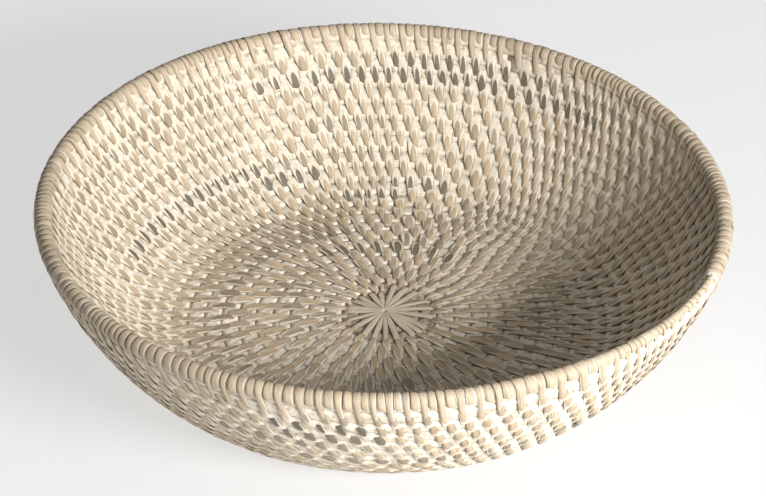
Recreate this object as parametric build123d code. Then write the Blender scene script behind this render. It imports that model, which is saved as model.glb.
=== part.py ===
from build123d import *
import os
from math import atan2, cos, degrees, floor, hypot, pi, radians, sin

# Coil-sewn rattan basket: a shallow round bowl.
# A round core rod, spliced from several lengths, runs in one spiral from the middle of the floor
# to the rim.  Flat strips of split rattan sew each round to the one before it, the strips of the
# star bind the first rounds to the middle, and the strips of the rim are wound twice as close.
#
# Millimetres.  +Z is up, the origin is the middle of the circle that the basket stands on, and
# the rod runs anticlockwise from above, ending at the rim on the +X side.

# Driving dimensions
ROD_RADIUS = 2.9           # core rod
STRIP_THICKNESS = 0.7      # split rattan strip
STRIP_CLEARANCE = 0.05     # between a strip and the rod that it is wound on
ROUND_PITCH = 7.45         # from one round of the rod to the next, along the basket's section

FLOOR_RISE = 3.2           # degrees: the floor climbs towards its middle, so its edge takes the weight
FLOOR_RUN = 86.0           # length of the section from the middle to where the corner begins
CORNER_RUN = 26.0          # length of the section round the corner
CORNER_END = 43.0          # degrees above level where the corner becomes the wall
WALL_RUN = 70.5            # length of the section up the wall
RIM_ANGLE = 73.5           # degrees above level at the rim
WEAR = 0.35                # how much of the lowest strips is worn away flat

HALF_TURNS = 48            # half turns from the middle to the rod's outer end
OUTER_END = -22.0          # degrees: where round the rim the rod's outer end lies
ROD_START = 0.4            # half turns: the rod's inner end, outside the eye of the star
ROD_LENGTH = 1900.0        # the core is spliced from lengths of about this
SPLICE_GAP = 0.2           # between the ends of two lengths

TAPER_START = 47.75        # half turns: where the rod's outer end starts to taper
TIP_RADIUS = 1.0           # radius of the rod at its tip
TAPER_SECTIONS = 5

STAR_END = 4.6             # half turns of the rod that the star covers
STAR_STRIPS = 21
STAR_GAP = 3.0             # degrees between two strips of the star
STAR_EYE = 1.0             # radius of the eye in its middle
STAR_THICKNESS = 0.45      # its strips are thinner
STAR_CLEARANCE = 0.26      # between the star and the rod

STITCH_AT_MIDDLE = 5.0     # spacing of the stitches along the rod, if they began in the middle
STITCH_AT_RIM = 8.1        # and at the rim
STITCHES_PER_STRIP = 41    # what a strip about 1.45 m long is enough for
STRIP_GAP = 0.3            # between the end of one strip and the start of the next
RIM_STRIPS = 3

STRIP_INNER = ROD_RADIUS + STRIP_CLEARANCE
STRIP_OUTER = STRIP_INNER + STRIP_THICKNESS
SECTION_RUN = FLOOR_RUN + CORNER_RUN + WALL_RUN
FIRST_RUN = SECTION_RUN - HALF_TURNS * ROUND_PITCH / 2
RIM_START = HALF_TURNS - 2


# The basket's section, along the centres of the rounds

def arc_travel(start_slope, end_slope, run):
    """How far out and up an arc goes while it turns from one slope to another."""
    radius = run / (end_slope - start_slope)
    return radius * (sin(end_slope) - sin(start_slope)), radius * (cos(start_slope) - cos(end_slope))


def section_point(run):
    """Radius and height of the rod's centre at a length along the section from the middle."""
    floor_slope, corner_slope, rim_slope = radians(-FLOOR_RISE), radians(CORNER_END), radians(RIM_ANGLE)
    floor_run = min(run, FLOOR_RUN)
    radius = floor_run * cos(floor_slope)
    height = floor_run * sin(floor_slope)
    corner_run = min(run - FLOOR_RUN, CORNER_RUN)
    if corner_run > 0:
        slope = floor_slope + (corner_slope - floor_slope) * corner_run / CORNER_RUN
        out, up = arc_travel(floor_slope, slope, corner_run)
        radius, height = radius + out, height + up
    wall_run = run - FLOOR_RUN - CORNER_RUN
    if wall_run > 0:
        slope = corner_slope + (rim_slope - corner_slope) * wall_run / WALL_RUN
        out, up = arc_travel(corner_slope, slope, wall_run)
        radius, height = radius + out, height + up
    return radius, height


# The section is lowest a little way into the corner, where it is level.
LOWEST_RUN = FLOOR_RUN + CORNER_RUN * FLOOR_RISE / (FLOOR_RISE + CORNER_END)
GROUND = section_point(LOWEST_RUN)[1] - STRIP_OUTER + WEAR


# The rod's centre line

def turn_end(number):
    """Where a half turn of the rod begins: even ones on the side of the rod's outer end."""
    radius, height = section_point(FIRST_RUN + number * ROUND_PITCH / 2)
    azimuth = OUTER_END if number % 2 == 0 else OUTER_END + 180
    return Vector(radius, 0, height - GROUND).rotate(Axis.Z, azimuth)


def coil_point(half_turns):
    """A point on the rod's centre line.  Each half turn is a true half circle, and it leans, so
    that it goes from its start to its end with no step."""
    number = min(floor(half_turns), HALF_TURNS - 1)
    start, end = turn_end(number), turn_end(number + 1)
    centre = (start + end) / 2
    spoke = start - centre
    azimuth = OUTER_END + 90 if number % 2 == 0 else OUTER_END - 90
    sideways = Vector(spoke.length, 0, 0).rotate(Axis.Z, azimuth)
    angle = (half_turns - number) * pi
    return centre + spoke * cos(angle) + sideways * sin(angle)


def coil_path(start, end):
    """The rod's centre line between two places, as arcs that run into each other."""
    arcs = []
    place = start
    while place < end - 1e-9:
        stop = min(floor(place + 1e-9) + 1, end)
        arcs.append(ThreePointArc(coil_point(place), coil_point((place + stop) / 2), coil_point(stop)))
        place = stop
    return Wire(arcs)


def square_plane(half_turns, reach=0.01):
    """The plane square across the rod at a place."""
    ahead = min(half_turns + reach, HALF_TURNS)
    along = coil_point(ahead) - coil_point(ahead - 2 * reach)
    return Plane(origin=coil_point(half_turns), z_dir=along)


def further(half_turns, length):
    """The place this length further along the rod."""
    point = coil_point(half_turns)
    return half_turns + length / (pi * hypot(point.X, point.Y))


# Core rod

def rod(start, end):
    return sweep(square_plane(start) * Circle(ROD_RADIUS), path=coil_path(start, end))


def taper_plane(place):
    """The plane across the tapering end: the rod sinks towards the round below as it thins."""
    thinning = (place - TAPER_START) / (HALF_TURNS - TAPER_START)
    radius = ROD_RADIUS + (TIP_RADIUS - ROD_RADIUS) * thinning
    below = coil_point(place - 2)
    away = coil_point(place) - below
    centre = below + away.normalized() * (away.length - ROD_RADIUS + radius)
    return Plane(origin=centre, z_dir=square_plane(place).z_dir), radius


def taper(allowance):
    """The tapering end of the rod, with an allowance all round."""
    sections = []
    for number in range(TAPER_SECTIONS):
        part = number / (TAPER_SECTIONS - 1)
        plane, radius = taper_plane(TAPER_START + (HALF_TURNS - TAPER_START) * part)
        sections.append(plane * Circle(radius + allowance))
    return loft(sections)


def rod_ends():
    """Where each length of the core begins, and where the last one starts to taper."""
    places = [ROD_START]
    run = 0.0
    place = ROD_START
    step = 5.0
    while place < TAPER_START:
        place = further(place, step)
        run += step
        if run >= ROD_LENGTH:
            places.append(place)
            run = 0.0
    return places


# Sewing

def strip(start, end):
    """The skin that the stitches of one strip make round the rod."""
    ring = Circle(STRIP_OUTER) - Circle(STRIP_INNER)
    return sweep(square_plane(start) * ring, path=coil_path(start, end))


def worn(solid):
    """Anything that would reach below the ground is worn flat."""
    depth = 2 * WEAR
    if solid.bounding_box().min.Z >= 0:
        return solid
    across = 2.2 * section_point(SECTION_RUN)[0]
    return solid - Pos(0, 0, -depth / 2) * Box(across, across, depth)


def stitch_spacing(half_turns):
    point = coil_point(half_turns)
    part = hypot(point.X, point.Y) / section_point(SECTION_RUN)[0]
    return STITCH_AT_MIDDLE + (STITCH_AT_RIM - STITCH_AT_MIDDLE) * part


def strip_ends():
    """Where each sewing strip begins, from the star to the rim."""
    places = [STAR_END]
    stitches = 0
    place = STAR_END
    while place < RIM_START:
        place = further(place, stitch_spacing(place))
        stitches += 1
        if stitches == STITCHES_PER_STRIP:
            places.append(min(place, RIM_START))
            stitches = 0
    if places[-1] < RIM_START:
        places.append(RIM_START)
    return places


# Star

def azimuth_of(half_turns):
    point = coil_point(half_turns)
    return degrees(atan2(point.Y, point.X))


def star_strip(number):
    """One strip of the star: a long loop over the first rounds, through the eye and back below."""
    start = STAR_END - 2 + 2 * number / STAR_STRIPS
    end = start + 2 / STAR_STRIPS
    rod_centre = coil_point((start + end) / 2)
    reach = hypot(rod_centre.X, rod_centre.Y)
    inner = ROD_RADIUS + STAR_CLEARANCE
    outer = inner + STAR_THICKNESS
    slope = radians(-FLOOR_RISE)
    first = STAR_EYE + outer
    middle = (first + reach) / 2
    height = middle * sin(slope) / cos(slope) - GROUND
    section_plane = Plane(origin=(middle, 0, height), x_dir=(cos(slope), 0, sin(slope)), z_dir=(0, -1, 0))
    length = reach - first
    loop = SlotCenterToCenter(length, 2 * outer) - SlotCenterToCenter(length, 2 * inner)
    width = (azimuth_of(end) - azimuth_of(start)) % 360 - STAR_GAP
    wedge = revolve(section_plane * loop, Axis.Z, width)
    return wedge.rotate(Axis.Z, azimuth_of(start) + STAR_GAP / 2)


# Writing the nodes

def save(node, solids):
    shape = solids[0] if len(solids) == 1 else Compound(children=solids)
    shape.label = node
    export_step(shape, f"parts/{node}.step")


def main():
    os.makedirs("parts", exist_ok=True)

    rods = rod_ends()
    for number, start in enumerate(rods, 1):
        if start == rods[-1]:
            last_length = rod(start, TAPER_START) + taper(0)
            save(f"core_rod_{number}", [last_length])
        else:
            end = further(rods[number], -SPLICE_GAP)
            save(f"core_rod_{number}", [rod(start, end)])

    save("star_strips", [star_strip(number) for number in range(STAR_STRIPS)])

    strips = strip_ends()
    for number, (start, end) in enumerate(zip(strips, strips[1:]), 1):
        save(f"sewing_strip_{number:02d}", [worn(strip(start, further(end, -STRIP_GAP)))])

    length = (TAPER_START - RIM_START) / RIM_STRIPS
    for number in range(1, RIM_STRIPS + 1):
        start = RIM_START + (number - 1) * length
        save(f"rim_strip_{number}", [strip(start, further(start + length, -STRIP_GAP))])
    tip_cover = taper(STRIP_CLEARANCE + STRIP_THICKNESS) - taper(STRIP_CLEARANCE)
    save("rim_end_binding", [tip_cover])


main()
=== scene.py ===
import math

import bpy
import numpy as np
from mathutils import Matrix, Vector


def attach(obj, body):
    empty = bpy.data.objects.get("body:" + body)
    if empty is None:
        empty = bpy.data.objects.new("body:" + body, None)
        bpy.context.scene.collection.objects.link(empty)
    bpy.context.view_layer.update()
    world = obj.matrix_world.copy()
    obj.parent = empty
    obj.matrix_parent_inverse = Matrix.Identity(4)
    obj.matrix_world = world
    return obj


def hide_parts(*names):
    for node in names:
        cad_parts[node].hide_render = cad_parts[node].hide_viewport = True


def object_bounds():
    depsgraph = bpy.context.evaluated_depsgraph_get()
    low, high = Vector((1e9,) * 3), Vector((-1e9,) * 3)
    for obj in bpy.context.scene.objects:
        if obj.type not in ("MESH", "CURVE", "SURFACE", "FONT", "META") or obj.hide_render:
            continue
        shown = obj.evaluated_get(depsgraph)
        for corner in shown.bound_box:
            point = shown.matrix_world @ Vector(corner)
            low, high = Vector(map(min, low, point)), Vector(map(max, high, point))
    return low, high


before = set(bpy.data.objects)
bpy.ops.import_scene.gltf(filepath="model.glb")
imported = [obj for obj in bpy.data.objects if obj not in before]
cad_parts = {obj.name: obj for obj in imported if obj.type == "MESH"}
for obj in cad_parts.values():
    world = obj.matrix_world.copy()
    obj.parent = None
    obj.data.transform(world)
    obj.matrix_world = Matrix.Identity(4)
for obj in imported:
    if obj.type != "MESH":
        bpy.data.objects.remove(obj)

# A shallow bowl, coiled from a rattan rod and sewn with strips of split rattan, whitewashed.
# Every strip is modelled as the flat ribbon that it is.  The star's strips are laid out from the
# eye, and the others are wound stitch by stitch round two rounds of the rod, along the same stretch
# as the CAD strip.  The rim has a short wrap round the last round alone between every two stitches.
# Metres; +Z up.
# A place on the coil is a number of half turns, from 0 in the middle of the floor to HALF_TURNS at
# the outer end of the rod, anticlockwise from above.

CAD_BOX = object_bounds()
MM = 0.001
rng = np.random.default_rng(24)

# Sizes of the rod and the strips, as the CAD part has them
ROD_RADIUS = 2.9 * MM
STRIP_THICKNESS = 0.75 * MM
STRIP_OUTER = ROD_RADIUS + STRIP_THICKNESS
WEAR = 0.35 * MM          # taken off the lowest stitches, on which the bowl stands
ROD_LENGTH = 1900.0 * MM  # of each length of rattan in the core
TIP_RADIUS = 0.2 * MM     # finer than in the CAD part, where the tip is blunt

# The bowl's section: a straight floor, a tight corner and a wall that bends less
FLOOR_SLOPE = math.radians(-3.2)
CORNER_SLOPE = math.radians(43.0)
RIM_SLOPE = math.radians(73.5)
FLOOR_RUN = 86.0 * MM
CORNER_RUN = 26.0 * MM
WALL_RUN = 70.5 * MM
SECTION_RUN = FLOOR_RUN + CORNER_RUN + WALL_RUN

# The coil
ROUND = 2                 # half turns in one round
HALF_TURNS = 24 * ROUND
ROUND_PITCH = 7.45 * MM
HALF_PITCH = ROUND_PITCH / 2
OUTER_END = math.radians(-22.0)
FIRST_RUN = SECTION_RUN - HALF_TURNS * HALF_PITCH

# Places on the coil
ROD_START = 0.4
SLIT_START = 2.5          # where the rod starts to lie against a round inside it
STAR_END = 4.6
FLOOR_END = (FLOOR_RUN - FIRST_RUN) / HALF_PITCH
RIM_START = HALF_TURNS - ROUND
TAPER_START = 47.75
BARE_TIP = 0.003          # half turns of the rod that stand out of the last wrap

# The sewing
STAR_STRIPS = 21
RIM_STRIPS = 3
STITCHES_PER_STRIP = 41
STITCH_AT_MIDDLE = 5.0 * MM
STITCH_AT_RIM = 8.1 * MM
LEAN = 0.54               # a stitch starts this part of a spacing after one of the round before
SLIP_STITCHES = 6         # over so many stitches an extra one is worked in

# Whitewash on the rod, which also fills the slit between two rounds from both sides
COAT = 0.38 * MM
SLIT = HALF_PITCH + 0.05 * MM

# Where the skin of the cane is dark: from one place to another, and how dark
DARK_STRETCHES = [
    (14.40, 14.80, 0.85), (16.40, 16.56, 0.6), (26.58, 26.69, 0.8), (28.52, 28.61, 0.6),
    (30.70, 30.80, 0.7), (32.78, 33.05, 1.0), (41.51, 41.62, 0.7), (42.36, 42.77, 0.8),
    (43.51, 43.60, 0.8), (44.44, 44.62, 0.6)]
FADED_STRETCHES = 46      # and how many more there are that are only greyer


# Where the rod and the stitches run

def section_point(run):
    """Radius and height of the rod's centre along the bowl's section, with its start at 0, 0."""
    floor_run = np.minimum(run, FLOOR_RUN)
    corner_run = np.clip(run - FLOOR_RUN, 0, CORNER_RUN)
    wall_run = np.clip(run - FLOOR_RUN - CORNER_RUN, 0, None)
    corner_radius = CORNER_RUN / (CORNER_SLOPE - FLOOR_SLOPE)
    wall_radius = WALL_RUN / (RIM_SLOPE - CORNER_SLOPE)
    corner = FLOOR_SLOPE + corner_run / corner_radius
    wall = CORNER_SLOPE + wall_run / wall_radius
    radius = (floor_run * math.cos(FLOOR_SLOPE)
              + corner_radius * (np.sin(corner) - math.sin(FLOOR_SLOPE))
              + wall_radius * (np.sin(wall) - math.sin(CORNER_SLOPE)))
    height = (floor_run * math.sin(FLOOR_SLOPE)
              + corner_radius * (math.cos(FLOOR_SLOPE) - np.cos(corner))
              + wall_radius * (math.cos(CORNER_SLOPE) - np.cos(wall)))
    return radius, height


RIM_RADIUS = float(section_point(np.array(SECTION_RUN))[0])
LOWEST_RUN = FLOOR_RUN - CORNER_RUN * FLOOR_SLOPE / (CORNER_SLOPE - FLOOR_SLOPE)
GROUND = float(section_point(np.array(LOWEST_RUN))[1]) - STRIP_OUTER + WEAR


def turn_end(number):
    """The coil's point at a whole number of half turns: towards the outer end, or across from it."""
    radius, height = section_point(FIRST_RUN + number * HALF_PITCH)
    azimuth = OUTER_END + np.pi * (number % 2)
    return np.stack([radius * np.cos(azimuth), radius * np.sin(azimuth), height - GROUND], axis=-1)


def coil_point(half_turns):
    """The rod's centre line: half circles that lean, so that each runs into the next."""
    half_turns = np.asarray(half_turns, dtype=float)
    number = np.clip(np.floor(half_turns), 0, HALF_TURNS - 1)
    start, end = turn_end(number), turn_end(number + 1)
    centre = (start + end) / 2
    spoke = start - centre
    length = np.linalg.norm(spoke, axis=-1)
    azimuth = OUTER_END + np.pi / 2 + np.pi * (number % 2)
    angle = (half_turns - number) * np.pi
    sideways = np.stack([np.cos(azimuth), np.sin(azimuth), 0 * azimuth], axis=-1) * length[..., None]
    return centre + spoke * np.cos(angle)[..., None] + sideways * np.sin(angle)[..., None]


def unit(vectors):
    """The vectors at a length of 1."""
    return vectors / np.linalg.norm(vectors, axis=-1, keepdims=True)


def along_rod(half_turns):
    """Direction of the rod, anticlockwise from above."""
    reach = 0.01
    ahead = np.minimum(np.asarray(half_turns, dtype=float) + reach, HALF_TURNS)
    return unit(coil_point(ahead) - coil_point(ahead - 2 * reach))


def rod_radius(half_turns):
    """The rod thins towards its outer end."""
    thinning = np.clip((half_turns - TAPER_START) / (HALF_TURNS - TAPER_START), 0, 1)
    return ROD_RADIUS + (TIP_RADIUS - ROD_RADIUS) * thinning


def rod_centre(half_turns):
    """The centre of the rod, which sinks towards the round below as it thins."""
    straight = coil_point(half_turns)
    below = coil_point(np.asarray(half_turns) - ROUND)
    away = straight - below
    reach = np.linalg.norm(away, axis=-1, keepdims=True)
    thinner = (ROD_RADIUS - rod_radius(half_turns))[..., None]
    return straight - away / reach * thinner


def spacing(half_turns):
    """Distance between stitches along the rod."""
    point = coil_point(half_turns)
    part = np.hypot(point[..., 0], point[..., 1]) / RIM_RADIUS
    return STITCH_AT_MIDDLE + (STITCH_AT_RIM - STITCH_AT_MIDDLE) * part


def further(half_turns, length):
    """The place that lies a length further along the rod."""
    point = coil_point(half_turns)
    return half_turns + length / (math.pi * math.hypot(point[0], point[1]))


def strip_ends():
    """Where each sewing strip begins, from the star to the rim, as the CAD part has them."""
    places = [STAR_END]
    stitches = 0
    place = STAR_END
    while place < RIM_START:
        place = further(place, float(spacing(place)))
        stitches += 1
        if stitches == STITCHES_PER_STRIP:
            places.append(min(place, RIM_START))
            stitches = 0
    if places[-1] < RIM_START:
        places.append(RIM_START)
    return places


def stitch_places():
    """Where every stitch starts.  Each one sits between two stitches of the round before, and as
    the rounds grow longer an extra stitch is worked in now and then over a few neighbours."""
    unevenness = 0.025      # of the places, in spacings
    readiness = 0.8         # to work in an extra stitch where there is room for one
    beyond = 0.1            # half turns, so that the last loop has an end
    places = [STAR_END - ROUND]
    while places[-1] < STAR_END:
        places.append(further(places[-1], float(spacing(places[-1]))))
    index = len(places) - 1
    while places[index] > places[-1] - ROUND:
        index -= 1
    index += LEAN
    slip = 0
    while places[-1] < HALF_TURNS + beyond:
        whole = int(index)
        gap = places[whole + 1] - places[whole]
        here = places[whole] + gap * (index - whole) + ROUND
        places.append(here + rng.normal(0, unevenness) * gap)
        point = coil_point(min(here, HALF_TURNS))
        excess = gap * math.pi * math.hypot(point[0], point[1]) / float(spacing(here)) - 1
        if slip == 0 and rng.random() < readiness * excess:
            slip = SLIP_STITCHES
        index += 1 - 1 / SLIP_STITCHES if slip else 1
        slip = max(slip - 1, 0)
    return np.sort(np.array(places))


# Winding a strip round the rods

FACE = ROUND_PITCH                                    # length of a loop over one face
BEND = math.pi * (ROD_RADIUS + STRIP_THICKNESS / 2)   # and round one rod
LOOP = 2 * FACE + 2 * BEND
LOOP_SAMPLES = 36
PHASES = np.arange(LOOP_SAMPLES) / LOOP_SAMPLES
INSIDE_END = FACE / LOOP                              # phases: where the loop leaves the inside face
OUTSIDE_START = INSIDE_END + BEND / LOOP
OUTSIDE_END = OUTSIDE_START + FACE / LOOP

# The places on a loop where the tables below say what the strip does: on the lower rod inside,
# between the rods inside, on the upper rod inside, above it, on it outside, between them outside,
# on the lower rod outside, below it, and back at the start.
KNOTS = np.array([0, INSIDE_END / 2, INSIDE_END, (INSIDE_END + OUTSIDE_START) / 2, OUTSIDE_START,
                  (OUTSIDE_START + OUTSIDE_END) / 2, OUTSIDE_END, (OUTSIDE_END + 1) / 2, 1])
# advance is how far along the rod it has come, width its width, and eye half the width of the
# patch where the whitewash has rubbed off, all in spacings of the stitches.  lift is how far it
# lies off the rod, in millimetres.  end is 0 in the middle of a rubbed patch and 1 at its end.
# deep is 1 where it dips between others, and painted shade and dirt darken it there.
# turn is the way that it faces, in degrees: 90 is inside, 0 is up and -90 is outside.  low is
# where it goes through to the other face: 0 below the lower rod, 1 below the upper one.
STITCH = {
    "turn": [90, 90, 90, 0, -90, -90, -90, -180, -270],
    "advance": [0, 0.09, 0.18, 0.34, 0.50, 0.64, 0.78, 0.89, 1.0],
    "width": [0.42, 0.60, 0.62, 0.46, 0.46, 0.50, 0.52, 0.20, 0.42],
    "eye": [0.21, 0.20, 0.17, 0.20, 0.23, 0.22, 0.17, 0.17, 0.21],
    "lift": [0.10, 0.45, 0.05, -0.1, 0.15, 0.30, -0.25, -0.1, 0.10],
    "end": [0.0, 0.46, 1.2, 1.0, 0.1, 0.55, 1.7, 0.7, 0.0],
    "deep": [0.0, 0.0, 0.1, 0.8, 0.0, 0.0, 0.3, 1.0, 0.0],
    "low": 0.0,
}
# On the floor the rubbed patches are longer, and the first stitches only reach between two rods
FLOOR_STITCH = dict(STITCH, eye=[0.19, 0.20, 0.19, 0.20, 0.23, 0.22, 0.17, 0.17, 0.19],
                    end=[0.0, 0.2, 0.85, 1.2, 0.1, 0.55, 1.7, 0.7, 0.0])
FIRST_STITCH = dict(FLOOR_STITCH, low=0.45)
LONG_WRAP = {
    "turn": [90, 90, 90, 0, -90, -90, -90, -180, -270],
    "advance": [0, 0.22, 0.42, 0.50, 0.58, 0.72, 0.88, 0.95, 1.0],
    "width": [0.60, 0.74, 0.80, 0.80, 0.80, 0.76, 0.66, 0.3, 0.60],
    "eye": [0.28, 0.33, 0.38, 0.39, 0.38, 0.34, 0.30, 0.2, 0.28],
    "lift": [0.25, 0.32, 0.08, 0.08, 0.08, 0.30, 0.20, 0.0, 0.25],
    "end": [0.1, 0.0, 0.0, 0.0, 0.0, 0.0, 0.1, 1.0, 0.1],
    "deep": [0.0, 0.0, 0.0, 0.0, 0.0, 0.0, 0.1, 1.0, 0.0],
    "low": 0.0,
}
SHORT_WRAP = {
    "turn": [165, 125, 85, 0, -85, -125, -165, -180, -195],
    "advance": [0.12, 0.22, 0.40, 0.50, 0.60, 0.78, 0.88, 0.95, 1.12],
    "width": [0.30, 0.80, 1.10, 1.16, 1.14, 0.86, 0.40, 0.2, 0.30],
    "eye": [0.2, 0.36, 0.52, 0.55, 0.54, 0.40, 0.2, 0.2, 0.2],
    "lift": [0.25, 0.15, 0.02, 0.02, 0.02, 0.15, 0.25, 0.0, 0.25],
    "end": [1.0, 0.5, 0.0, 0.0, 0.0, 0.5, 1.0, 1.2, 1.0],
    "deep": [0.0, 0.0, 0.0, 0.0, 0.0, 0.0, 0.0, 0.0, 0.0],
    "low": 1.0,
}


def loop_path(phase, turn, low, high, low_radius, high_radius):
    """A loop up the inside face, round the upper rod, down the outside face and round the lower
    one.  low and high are the places of the two bends across the rounds.  Gives the place across
    and the place out of the face."""
    upness = np.interp(phase, [0, INSIDE_END, OUTSIDE_START, OUTSIDE_END, 1], [0, 1, 1, 0, 0])
    radius = low_radius + (high_radius - low_radius) * upness
    return low + (high - low) * upness + radius * np.cos(turn), radius * np.sin(turn)


def smooth_loop(values):
    """The values at a loop's knots as a smooth curve, for every sample of one loop."""
    half_window = 6     # hundredths of the loop, over which the corners are rounded
    dense = np.linspace(0, 1, 101)
    line = np.interp(dense, KNOTS, values)
    climb = line[-1] - line[0]
    level = line[:-1] - climb * dense[:-1]
    kernel = np.hanning(2 * half_window + 1)
    kernel /= kernel.sum()
    wrapped = np.concatenate([level[-half_window:], level, level[:half_window]])
    smoothed = np.convolve(wrapped, kernel, "valid")
    return np.interp(PHASES, dense[:-1], smoothed) + climb * PHASES


def along_loops(kinds, key):
    """One of the measures of a stitch, for every sample of a row of loops.  Each loop goes over
    from its own kind to the next one's while it is above the upper rod."""
    curves = {id(kind): smooth_loop(kind[key]) for kind in kinds}
    over = np.clip((PHASES - INSIDE_END) / (OUTSIDE_START - INSIDE_END), 0, 1)
    return np.concatenate([curves[id(this)] * (1 - over) + curves[id(that)] * over
                           for this, that in zip(kinds, kinds[1:])])


# A strip's cross-section: across and up, in half widths and half thicknesses, round its edge
SECTION = np.array([(-1.0, -0.2), (-0.86, 0.62), (-0.45, 0.95), (0.0, 1.0), (0.45, 0.95), (0.86, 0.62),
                    (1.0, -0.2), (0.6, -0.8), (-0.6, -0.8)])


def mesh_piece(name, rings, attributes):
    """A closed solid from a row of rings of points, with its attributes."""
    count, sides = rings.shape[:2]
    vertices = rings.reshape(-1, 3).copy()
    # The lowest stitches are worn flat where the bowl stands
    vertices[:, 2] = np.maximum(vertices[:, 2], CAD_BOX[0][2])
    ring = np.arange(sides)
    start = np.arange(count - 1)[:, None] * sides
    quads = np.stack([start + ring, start + (ring + 1) % sides, start + sides + (ring + 1) % sides,
                      start + sides + ring], axis=-1).reshape(-1, 4)
    faces = [tuple(quad) for quad in quads.tolist()]
    faces.append(tuple(range(sides - 1, -1, -1)))
    faces.append(tuple(range((count - 1) * sides, count * sides)))
    mesh = bpy.data.meshes.new(name)
    mesh.from_pydata(vertices.tolist(), [], faces)
    for key, values in attributes.items():
        attribute = mesh.attributes.new(key, "FLOAT", "POINT")
        values = np.broadcast_to(values, (count, sides))
        attribute.data.foreach_set("value", values.astype(np.float32).ravel())
    mesh.polygons.foreach_set("use_smooth", [True] * len(mesh.polygons))
    mesh.update()
    piece = bpy.data.objects.new(name, mesh)
    bpy.context.scene.collection.objects.link(piece)
    return piece


def ribbon_piece(name, points, outward, widths, thickness, eyes, values):
    """A ribbon along a line of points.  eyes is half the width of its rubbed patch, and values
    has one number for each point of the line under each attribute's name."""
    travel = unit(np.gradient(points, axis=0))
    across = unit(np.cross(travel, outward))
    up = np.cross(across, travel)
    sideways = SECTION[None, :, 0] * widths[:, None] / 2
    upwards = np.broadcast_to(SECTION[None, :, 1] * thickness / 2, sideways.shape)
    rings = (points[:, None, :] + across[:, None, :] * sideways[..., None]
             + up[:, None, :] * upwards[..., None])
    attributes = {key: np.asarray(value)[:, None] for key, value in values.items()}
    attributes["edge"] = SECTION[None, :, 0]
    attributes["off_centre"] = sideways / eyes[:, None]
    return mesh_piece(name, rings, attributes)


def faded_stretches():
    """Stretches scattered over the coil whose cane is a little greyer."""
    starts = rng.uniform(STAR_END, HALF_TURNS, FADED_STRETCHES)
    lengths = rng.uniform(0.05, 0.4, FADED_STRETCHES)
    depths = rng.uniform(0.12, 0.45, FADED_STRETCHES)
    return list(zip(starts, starts + lengths, depths))


DARKER = DARK_STRETCHES + faded_stretches()


def darkness(place):
    """How dark and green the cane's skin is, for each stitch."""
    dark = np.zeros_like(place)
    for start, end, depth in DARKER:
        dark = np.maximum(dark, depth * ((place > start) & (place < end)))
    return dark


def wound_strip(name, starts, kinds, tone):
    """One strip wound through loops that start at the given places, each of its own kind."""
    count = len(starts) - 1
    loop = np.repeat(np.arange(count), LOOP_SAMPLES)
    phase = np.tile(PHASES, count)
    measures = {key: along_loops(kinds, key) for key in STITCH if key != "low"}
    # How the stitches differ: in millimetres off the rod, tilt, width, rubbed patch and fibres
    proud = rng.normal(0, 0.06, count)
    tilt = rng.normal(0, 0.07, count)
    wide = rng.normal(1, 0.05, count)
    worn = np.clip(rng.normal(1, 0.12, count), 0.7, 1.3)
    seed = rng.random(count)
    # The two rods that the loop goes round
    place = starts[loop] + (starts[loop + 1] - starts[loop]) * measures["advance"]
    place = np.minimum(place, HALF_TURNS)
    upper, lower = rod_centre(place), coil_point(place - ROUND)
    depth = np.linalg.norm(upper - lower, axis=1)
    rise = unit(upper - lower)
    tangent = along_rod(place)
    inward = unit(np.cross(rise, tangent))
    # The line of the strip, and the way that it faces
    lift = (measures["lift"] + proud[loop]) * MM + STRIP_THICKNESS / 2
    lows = np.array([kind["low"] for kind in kinds])
    before_top = phase < (INSIDE_END + OUTSIDE_START) / 2
    low = depth * np.where(before_top, lows[loop], lows[loop + 1])
    turn = np.radians(measures["turn"])
    low_radius = np.where(low == depth, rod_radius(place), ROD_RADIUS) + lift
    across, out = loop_path(phase, turn, low, depth, low_radius, rod_radius(place) + lift)
    points = lower + rise * across[:, None] + inward * out[:, None]
    outward = (rise * np.cos(turn)[:, None] + inward * np.sin(turn)[:, None]
               + tangent * tilt[loop][:, None])
    gap = (starts[loop + 1] - starts[loop]) * math.pi * np.hypot(upper[:, 0], upper[:, 1])
    widths = gap * measures["width"] * wide[loop]
    eyes = gap * measures["eye"] * worn[loop]
    values = {
        "end": measures["end"],
        "deep": measures["deep"],
        "facing": np.sin(turn),
        "along": (phase + loop) * LOOP / MM,
        "seed": seed[loop],
        "tone": np.clip(tone + darkness(starts[:-1]), 0, 1)[loop],
    }
    return ribbon_piece(name, points, unit(outward), widths, STRIP_THICKNESS, eyes, values)


# Rods

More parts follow.
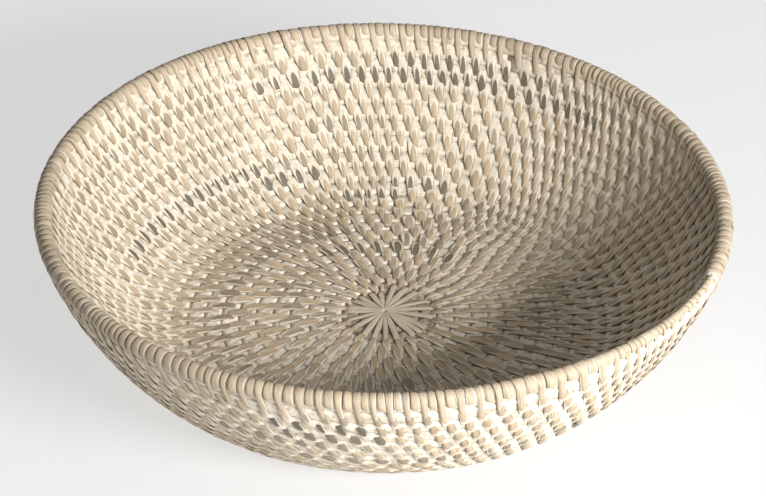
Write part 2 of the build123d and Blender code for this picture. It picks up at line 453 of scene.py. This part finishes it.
def rod_piece(name, start, end):
    """A length of the core.  Beyond the star it has a coat of whitewash.  Its section is squared
    off towards a neighbouring round, so that the slit between the two is filled."""
    rings_per_half_turn = 40
    sides = 20
    coat_edge = 0.15        # half turns over which the coat starts
    places = np.linspace(start, end, int((end - start) * rings_per_half_turn) + 2)
    centres = rod_centre(places)
    tangent = along_rod(places)
    beside_inner = (places > SLIT_START)[:, None]
    beside_outer = (places < RIM_START)[:, None]
    away = np.where(beside_inner, centres - coil_point(places - ROUND), centres * (1, 1, 0))
    inward = unit(np.cross(away, tangent))
    rise = unit(np.cross(tangent, inward))
    angles = (np.arange(sides) + 0.5) * 2 * np.pi / sides
    cosine, sine = np.cos(angles)[None, :], np.sin(angles)[None, :]
    radius = rod_radius(places)[:, None]
    coated = np.clip((places - STAR_END) / coat_edge, 0, 1)[:, None]
    filled = np.where(cosine < 0, beside_inner, beside_outer) * 1.0
    square = 2 + 6 * filled     # the exponent of the section: 2 is a circle, 8 nearly a square
    bulge = (np.abs(cosine) ** square + np.abs(sine) ** square) ** (-1 / square)
    sideways = np.where(filled > 0, SLIT, radius + COAT * coated) * bulge * cosine
    outward = (radius + COAT * coated) * bulge * sine
    rings = (centres[:, None, :] + rise[:, None, :] * sideways[..., None]
             + inward[:, None, :] * outward[..., None])
    return mesh_piece(name, rings, {"coated": coated})


# Materials

# What shows on the cane besides its own tan, with painted shade among it: on one side, along the edges
# and in the dips
WORN_CANE = (0.50, 0.42, 0.28)
DARK_CANE = [(0.3, (0.055, 0.052, 0.038)), (0.7, (0.13, 0.12, 0.085))]
VEIN = (0.23, 0.155, 0.085)
# painted shade along the side of a strip that faces away from the light
PAINTED_SIDE_SHADE = (0.19, 0.13, 0.07)
SPECK = (0.50, 0.42, 0.30)
# painted shade: a dark line along the edges of a strip
PAINTED_EDGE_SHADE = (0.10, 0.07, 0.04)
# painted shade and dirt where a strip dips between others
DIP_SHADE_AND_DIRT = (0.13, 0.095, 0.06)


def new_material(name):
    """A material with no nodes in it, and its node tree."""
    material = bpy.data.materials.new(name)
    material.use_nodes = True
    tree = material.node_tree
    tree.nodes.clear()
    return material, tree


def add(tree, kind, links=None, **settings):
    """A node, with its settings and the sockets that feed its inputs."""
    node = tree.nodes.new(kind)
    for key, value in settings.items():
        setattr(node, key, value)
    for key, value in (links or {}).items():
        if isinstance(value, bpy.types.NodeSocket):
            tree.links.new(value, node.inputs[key])
        else:
            node.inputs[key].default_value = value
    return node


def attribute(tree, name):
    """One of the numbers that mesh_piece stored at each point."""
    return add(tree, "ShaderNodeAttribute", attribute_name=name).outputs["Fac"]


def math_node(tree, operation, *values):
    """The result of one operation on sockets or plain numbers."""
    node = tree.nodes.new("ShaderNodeMath")
    node.operation = operation
    for socket, value in zip(node.inputs, values):
        if isinstance(value, bpy.types.NodeSocket):
            tree.links.new(value, socket)
        else:
            socket.default_value = value
    return node.outputs[0]


def times(tree, value, factor):
    """A product of sockets or plain numbers."""
    return math_node(tree, "MULTIPLY", value, factor)


def ramp(tree, factor, stops):
    """The colour at a factor, between stops of a position and a colour each."""
    node = tree.nodes.new("ShaderNodeValToRGB")
    elements = node.color_ramp.elements
    while len(elements) < len(stops):
        elements.new(0.5)
    for element, (position, colour) in zip(elements, stops):
        element.position = position
        element.color = (*colour, 1)
    tree.links.new(factor, node.inputs["Fac"])
    return node.outputs["Color"]


def mix(tree, factor, first, second):
    """The first colour at a factor of 0 and the second at 1."""
    node = tree.nodes.new("ShaderNodeMix")
    node.data_type = "RGBA"
    for socket, value in ((node.inputs[0], factor), (node.inputs[6], first), (node.inputs[7], second)):
        if isinstance(value, bpy.types.NodeSocket):
            tree.links.new(value, socket)
        elif isinstance(value, tuple):
            socket.default_value = (*value, 1)
        else:
            socket.default_value = value
    return node.outputs[2]


def smooth(tree, value, low, high):
    """0 at low and 1 at high, with a smooth step between them."""
    node = add(tree, "ShaderNodeMapRange", {"Value": value, "From Min": low, "From Max": high},
               interpolation_type="SMOOTHSTEP")
    return node.outputs["Result"]


def noise(tree, vector, scale, detail):
    """Noise from 0 to 1, finer as scale grows."""
    settings = {"Vector": vector, "Scale": scale, "Detail": detail, "Roughness": 0.55}
    return add(tree, "ShaderNodeTexNoise", settings).outputs["Fac"]


def weigh(tree, *terms, offset=0.0):
    """A sum of noises, each taken from its middle and multiplied by its weight."""
    total = offset
    for value, weight in terms:
        centred = math_node(tree, "SUBTRACT", value, 0.5)
        total = math_node(tree, "MULTIPLY_ADD", centred, weight, total)
    return total


def fibre_noise(tree, along, across, seed, detail):
    """Noise drawn out along the strip, and different on each stitch."""
    place = add(tree, "ShaderNodeCombineXYZ",
                {"X": times(tree, attribute(tree, "along"), along),
                 "Y": times(tree, attribute(tree, "edge"), across),
                 "Z": times(tree, attribute(tree, "seed"), seed)})
    return noise(tree, place.outputs[0], 1.0, detail)


def rubbed_patch(tree, place, fibre, blotch):
    """1 in the patch of each stitch where the whitewash has rubbed off, with a ragged rim."""
    off_centre, end = attribute(tree, "off_centre"), attribute(tree, "end")
    patch = noise(tree, place, 40.0, 2.0)
    outness = math_node(tree, "ADD", math_node(tree, "POWER", off_centre, 2.0),
                        math_node(tree, "POWER", end, 2.0))
    inside = math_node(tree, "SUBTRACT", 1.0, outness)
    ragged = weigh(tree, (fibre, 0.7), (blotch, 0.9), (patch, 1.0), (attribute(tree, "seed"), 0.25))
    return smooth(tree, math_node(tree, "ADD", inside, ragged), -0.05, 0.35)


def bare_cane(tree, fibre, vein, light, dark):
    """Tan cane, worn on some stitches and dark green on others, with veins.  Painted shade darkens it
    along the side of the strip that faces away from the light."""
    cane = ramp(tree, fibre, [(0.3, dark), (0.7, light)])
    cane = mix(tree, times(tree, attribute(tree, "seed"), 0.35), cane, WORN_CANE)
    cane = mix(tree, attribute(tree, "tone"), cane, ramp(tree, fibre, DARK_CANE))
    cane = mix(tree, times(tree, vein, 0.5), cane, VEIN)
    # painted shade on the side of the strip that faces away from the light
    side = times(tree, attribute(tree, "edge"), attribute(tree, "facing"))
    return mix(tree, times(tree, smooth(tree, side, -0.1, -0.7), 0.6), cane, PAINTED_SIDE_SHADE)


def with_painted_shade_and_dirt(tree, colour, blotch):
    """The colour, with painted shade as a dark line along the strip's edges, and painted shade and
    dirt in its dips.
    """
    edge = math_node(tree, "ABSOLUTE", attribute(tree, "edge"))
    # painted shade: a dark line along both edges of a strip, towards its rubbed patch
    line = times(tree, smooth(tree, edge, 0.7, 0.98), smooth(tree, attribute(tree, "end"), 1.3, 0.4))
    colour = mix(tree, times(tree, line, 0.75), colour, PAINTED_EDGE_SHADE)
    # painted shade and dirt where the strip dips between others
    deep = math_node(tree, "ADD", attribute(tree, "deep"), times(tree, blotch, 0.3))
    return mix(tree, times(tree, smooth(tree, deep, 0.35, 1.15), 0.8), colour, DIP_SHADE_AND_DIRT)


def give_surface(tree, colour, roughness, height):
    """A matt surface whose bumps are 0.3 mm deep."""
    bump = add(tree, "ShaderNodeBump", {"Height": height, "Strength": 0.5, "Distance": 0.3 * MM})
    shader = add(tree, "ShaderNodeBsdfPrincipled",
                 {"Base Color": colour, "Roughness": roughness, "Normal": bump.outputs[0]})
    output = add(tree, "ShaderNodeOutputMaterial")
    tree.links.new(shader.outputs[0], output.inputs["Surface"])


def strip_material(name, white, white_dim, tan_light, tan_dark, bareness):
    """Whitewashed split rattan: bare and fibrous in its rubbed patches, and white elsewhere."""
    material, tree = new_material(name)
    place = add(tree, "ShaderNodeTexCoord").outputs["Object"]
    fibre = fibre_noise(tree, 0.12, 6.0, 40.0, detail=4.0)
    vein = smooth(tree, fibre_noise(tree, 0.10, 13.0, 90.0, detail=2.0), 0.52, 0.66)
    blotch = noise(tree, place, 420.0, 4.0)
    speck = smooth(tree, noise(tree, place, 1700.0, 2.0), 0.60, 0.70)
    rubbed = rubbed_patch(tree, place, fibre, blotch)
    cane = bare_cane(tree, fibre, vein, tan_light, tan_dark)
    chalky = weigh(tree, (blotch, 0.7), (fibre, 0.5), offset=0.5)
    wash = ramp(tree, chalky, [(0.3, white_dim), (0.62, white)])
    wash = mix(tree, times(tree, speck, 0.45), wash, SPECK)
    colour = with_painted_shade_and_dirt(tree, mix(tree, times(tree, rubbed, bareness), wash, cane), blotch)
    roughness = math_node(tree, "SUBTRACT", 0.86, times(tree, rubbed, 0.3))
    height = weigh(tree, (fibre, 0.7), (blotch, 0.6), (vein, -0.5), (speck, -0.3))
    give_surface(tree, colour, roughness, height)
    return material


def rod_material(name):
    """The core rod: unpainted brown in the star, made darker there as painted shade in the gaps
    between the star's strips, and whitewashed where the strips are sewn.
    """
    material, tree = new_material(name)
    place = add(tree, "ShaderNodeTexCoord").outputs["Object"]
    blotch = noise(tree, place, 380.0, 4.0)
    patch = smooth(tree, noise(tree, place, 60.0, 2.0), 0.5, 0.7)
    wash = ramp(tree, blotch, [(0.32, (0.48, 0.40, 0.28)), (0.5, (0.83, 0.75, 0.62))])
    wash = mix(tree, times(tree, patch, 0.5), wash, (0.52, 0.44, 0.32))
    # unpainted brown cane, darkened as painted shade where it shows in the gaps between the star's
    # strips
    brown_and_gap_shade = ramp(tree, blotch, [(0.36, (0.24, 0.18, 0.12)), (0.6, (0.56, 0.48, 0.37))])
    colour = mix(tree, attribute(tree, "coated"), brown_and_gap_shade, wash)
    give_surface(tree, colour, weigh(tree, (blotch, 0.2), offset=0.85), blotch)
    return material


SEWING = strip_material("whitewashed_strip",
                        white=(0.86, 0.78, 0.65), white_dim=(0.70, 0.60, 0.45),
                        tan_light=(0.75, 0.58, 0.39), tan_dark=(0.58, 0.425, 0.265), bareness=0.94)
RIM = strip_material("rubbed_rim_strip",
                     white=(0.90, 0.83, 0.70), white_dim=(0.78, 0.68, 0.53),
                     tan_light=(0.76, 0.60, 0.42), tan_dark=(0.56, 0.42, 0.27), bareness=0.90)
STAR = strip_material("star_strip",
                      white=(0.88, 0.79, 0.66), white_dim=(0.74, 0.64, 0.50),
                      tan_light=(0.80, 0.67, 0.50), tan_dark=(0.62, 0.49, 0.34), bareness=0.75)
CORE = rod_material("whitewashed_core")


def finish_piece(piece, material, slot, *nodes):
    """Gives a piece its material, and puts it in place of its CAD nodes.  slot is not used."""
    piece.data.materials.append(material)
    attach(piece, "root")
    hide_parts(*nodes)


# The pieces

def stitch_kind(place):
    """The kind of stitch that the sewing has at a place."""
    if place < STAR_END + ROUND:
        return FIRST_STITCH
    return FLOOR_STITCH if place < FLOOR_END else STITCH


def build_sewing(places):
    """The strips of split rattan from the star to the rim."""
    ends = strip_ends()
    for number, (start, end) in enumerate(zip(ends, ends[1:]), 1):
        first, last = np.searchsorted(places, [start, end])
        starts = places[first:last + 1]
        kinds = [stitch_kind(place) for place in starts]
        piece = wound_strip(f"split_rattan_strip_{number:02d}", starts, kinds, rng.uniform(0, 0.3))
        finish_piece(piece, SEWING, "sewing_strip", f"sewing_strip_{number:02d}")


def build_rim(places):
    """The last round: a short wrap of the rim alone between every two stitches."""
    ends = np.append(np.linspace(RIM_START, TAPER_START, RIM_STRIPS + 1), HALF_TURNS)
    names = [(f"rim_lashing_{number}", f"rim_strip_{number}") for number in range(1, RIM_STRIPS + 1)]
    names.append(("rim_end_lashing", "rim_end_binding"))
    for start, end, (name, node) in zip(ends, ends[1:], names):
        first, last = np.searchsorted(places, [start, end])
        stitches = np.minimum(places[first:last + 1], HALF_TURNS - BARE_TIP)
        middles = (stitches[:-1] + stitches[1:]) / 2
        starts = np.sort(np.concatenate([stitches, middles]))
        kinds = [LONG_WRAP, SHORT_WRAP] * (len(stitches) - 1) + [LONG_WRAP]
        piece = wound_strip(name, starts, kinds, rng.uniform(0, 0.15))
        finish_piece(piece, RIM, "rim_strip", node)


def star_ribbon(number, phase, turn, outness):
    """One radial strip.  outness is 0 in the eye and 1 over the last rod."""
    thickness = 0.6 * MM
    clearance = 0.5 * MM    # from the rod to the middle of the strip
    eye_bend = 0.9 * MM     # the radius in which it bends in the eye
    narrowest = 0.6 * MM    # where it goes through the eye
    fibre_run = 45.0        # millimetres of fibres along the strip
    start = STAR_END - ROUND + ROUND * number / STAR_STRIPS
    middle = coil_point(start + 1 / STAR_STRIPS)
    reach = math.hypot(middle[0], middle[1])
    azimuth = math.atan2(middle[1], middle[0]) + rng.normal(0, 0.03) + rng.normal(0, 0.06) * outness
    radius = ROD_RADIUS + clearance + abs(rng.normal(0, 0.15)) * MM
    bend = eye_bend + (radius - eye_bend) * outness
    first = eye_bend + clearance
    distance = first + (reach - first) * outness + bend * np.cos(turn)
    height = distance * math.tan(FLOOR_SLOPE) - GROUND + radius * np.sin(turn)
    side, ahead = np.sin(azimuth), np.cos(azimuth)
    points = np.stack([distance * ahead, distance * side, height], axis=1)
    outward = np.stack([np.cos(turn) * ahead, np.cos(turn) * side, np.sin(turn)], axis=1)
    room = 2 * np.pi * np.maximum(distance, 0) / STAR_STRIPS
    widest = rng.uniform(2.3, 3.3) * MM
    widths = np.clip(room * 1.05, narrowest, widest)
    same = np.ones_like(phase)
    values = {
        "end": 0.2 * same,
        "deep": 0.0 * same,
        "facing": 0.0 * same,
        "along": phase * fibre_run,
        "seed": rng.random() * same,
        "tone": rng.uniform(0, 0.2) * same,
    }
    return ribbon_piece(f"star_{number}", points, outward, widths, thickness, widths * 0.5, values)


def build_star():
    """Radial strips from the eye over the first rounds, round the last of them and back below."""
    phase = np.linspace(0, 1, 60)
    # below, in through the eye, out over the top, round the last rod and back below
    changes = [0, 0.16, 0.30, 0.66, 0.82, 1]
    turn = np.interp(phase, changes, [270, 270, 90, 90, -90, -90]) * np.pi / 180
    outness = np.interp(phase, changes, [0.5, 0, 0, 1, 1, 0.5])
    strips = [star_ribbon(number, phase, turn, outness) for number in range(STAR_STRIPS)]
    finish_piece(join(strips, "star_of_strips"), STAR, "star_strip", "star_strips")


def join(pieces, name):
    """Several meshes as one piece."""
    bpy.ops.object.select_all(action="DESELECT")
    for piece in pieces:
        piece.select_set(True)
    bpy.context.view_layer.objects.active = pieces[0]
    bpy.ops.object.join()
    pieces[0].name = name
    pieces[0].data.name = name
    return pieces[0]


def build_core():
    """The lengths of rattan rod, one for each CAD node."""
    nodes = sorted(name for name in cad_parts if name.startswith("core_rod"))
    ends = rod_ends()
    for number, (node, start, end) in enumerate(zip(nodes, ends, ends[1:]), 1):
        finish_piece(rod_piece(f"rattan_core_{number}", start, end), CORE, "core_rod", node)


def rod_ends():
    """Where each length of the core begins and the last one ends, as the CAD part has them."""
    step = 5 * MM
    places = [ROD_START]
    run = 0.0
    place = ROD_START
    while place < TAPER_START:
        place = further(place, step)
        run += step
        if run >= ROD_LENGTH:
            places.append(place)
            run = 0.0
    return places + [HALF_TURNS]


STITCHES = stitch_places()
build_core()
build_star()
build_sewing(STITCHES)
build_rim(STITCHES)


# Stage, light and camera

def build_stage():
    """A plain pale floor just below the bowl.  It gives off a little light, so that it stays pale."""
    reach = 3.0
    clearance = 0.2 * MM
    corners = [(-reach, -reach, 0), (reach, -reach, 0), (reach, reach, 0), (-reach, reach, 0)]
    mesh = bpy.data.meshes.new("studio_floor")
    mesh.from_pydata(corners, [], [(0, 1, 2, 3)])
    floor = bpy.data.objects.new("studio_floor", mesh)
    floor.location.z = CAD_BOX[0][2] - clearance
    bpy.context.scene.collection.objects.link(floor)
    material, tree = new_material("studio_paper")
    shader = add(tree, "ShaderNodeBsdfPrincipled",
                 {"Base Color": (0.3, 0.3, 0.3, 1), "Roughness": 0.9,
                  "Emission Color": (1, 1, 1, 1), "Emission Strength": 0.6})
    output = add(tree, "ShaderNodeOutputMaterial")
    tree.links.new(shader.outputs[0], output.inputs["Surface"])
    mesh.materials.append(material)


def area_light(name, azimuth, elevation, distance, width, height, power):
    """A soft box that looks at the bowl, with its place as angles in degrees."""
    lamp = bpy.data.lights.new(name, "AREA")
    lamp.energy = power
    lamp.shape = "RECTANGLE"
    lamp.size = width
    lamp.size_y = height
    light = bpy.data.objects.new(name, lamp)
    bpy.context.scene.collection.objects.link(light)
    bowl = Vector((0, 0, 30 * MM))
    azimuth, elevation = math.radians(azimuth), math.radians(elevation)
    away = Vector((math.cos(elevation) * math.cos(azimuth), math.cos(elevation) * math.sin(azimuth),
                   math.sin(elevation)))
    light.location = bowl + away * distance
    light.rotation_euler = (-away).to_track_quat("-Z", "Y").to_euler()


def build_lights():
    """A low soft box at the front right, a weak one above, and a little light all round, which
    looks brighter to the camera, so that the backdrop stays pale."""
    world = bpy.data.worlds.new("studio")
    world.use_nodes = True
    tree = world.node_tree
    backdrop = tree.nodes["Background"]
    backdrop.inputs["Color"].default_value = (1, 1, 1, 1)
    seen = add(tree, "ShaderNodeLightPath").outputs["Is Camera Ray"]
    strength = add(tree, "ShaderNodeMapRange", {"Value": seen, "To Min": 0.135, "To Max": 0.85})
    tree.links.new(strength.outputs["Result"], backdrop.inputs["Strength"])
    bpy.context.scene.world = world
    area_light("key", azimuth=-50, elevation=25, distance=1.2, width=0.6, height=0.2, power=21.5)
    area_light("top", azimuth=-20, elevation=75, distance=1.2, width=0.6, height=0.6, power=1.5)


def build_camera():
    """A long lens in front of the bowl that looks down at it, and rolls a little."""
    elevation = math.radians(33.29)
    roll = math.radians(0.33)
    distance = 1.591
    rim_height = float(coil_point(HALF_TURNS - 1)[2])
    data = bpy.data.cameras.new("camera")
    data.sensor_width = 36.0
    data.lens = 176.0
    data.shift_x = -0.0031
    data.shift_y = -0.0592
    data.clip_end = 20.0
    camera = bpy.data.objects.new("camera", data)
    bpy.context.scene.collection.objects.link(camera)
    back = Vector((0, -math.cos(elevation), math.sin(elevation)))
    up = Vector((0, math.sin(elevation), math.cos(elevation)))
    camera.location = Vector((0, 0, rim_height)) + back * distance
    turn = Matrix((Vector((1, 0, 0)), up, back)).transposed()
    camera.rotation_euler = (turn @ Matrix.Rotation(roll, 3, "Z")).to_euler()
    bpy.context.scene.camera = camera


build_stage()
build_lights()
build_camera()
bpy.context.scene.view_settings.view_transform = "Standard"
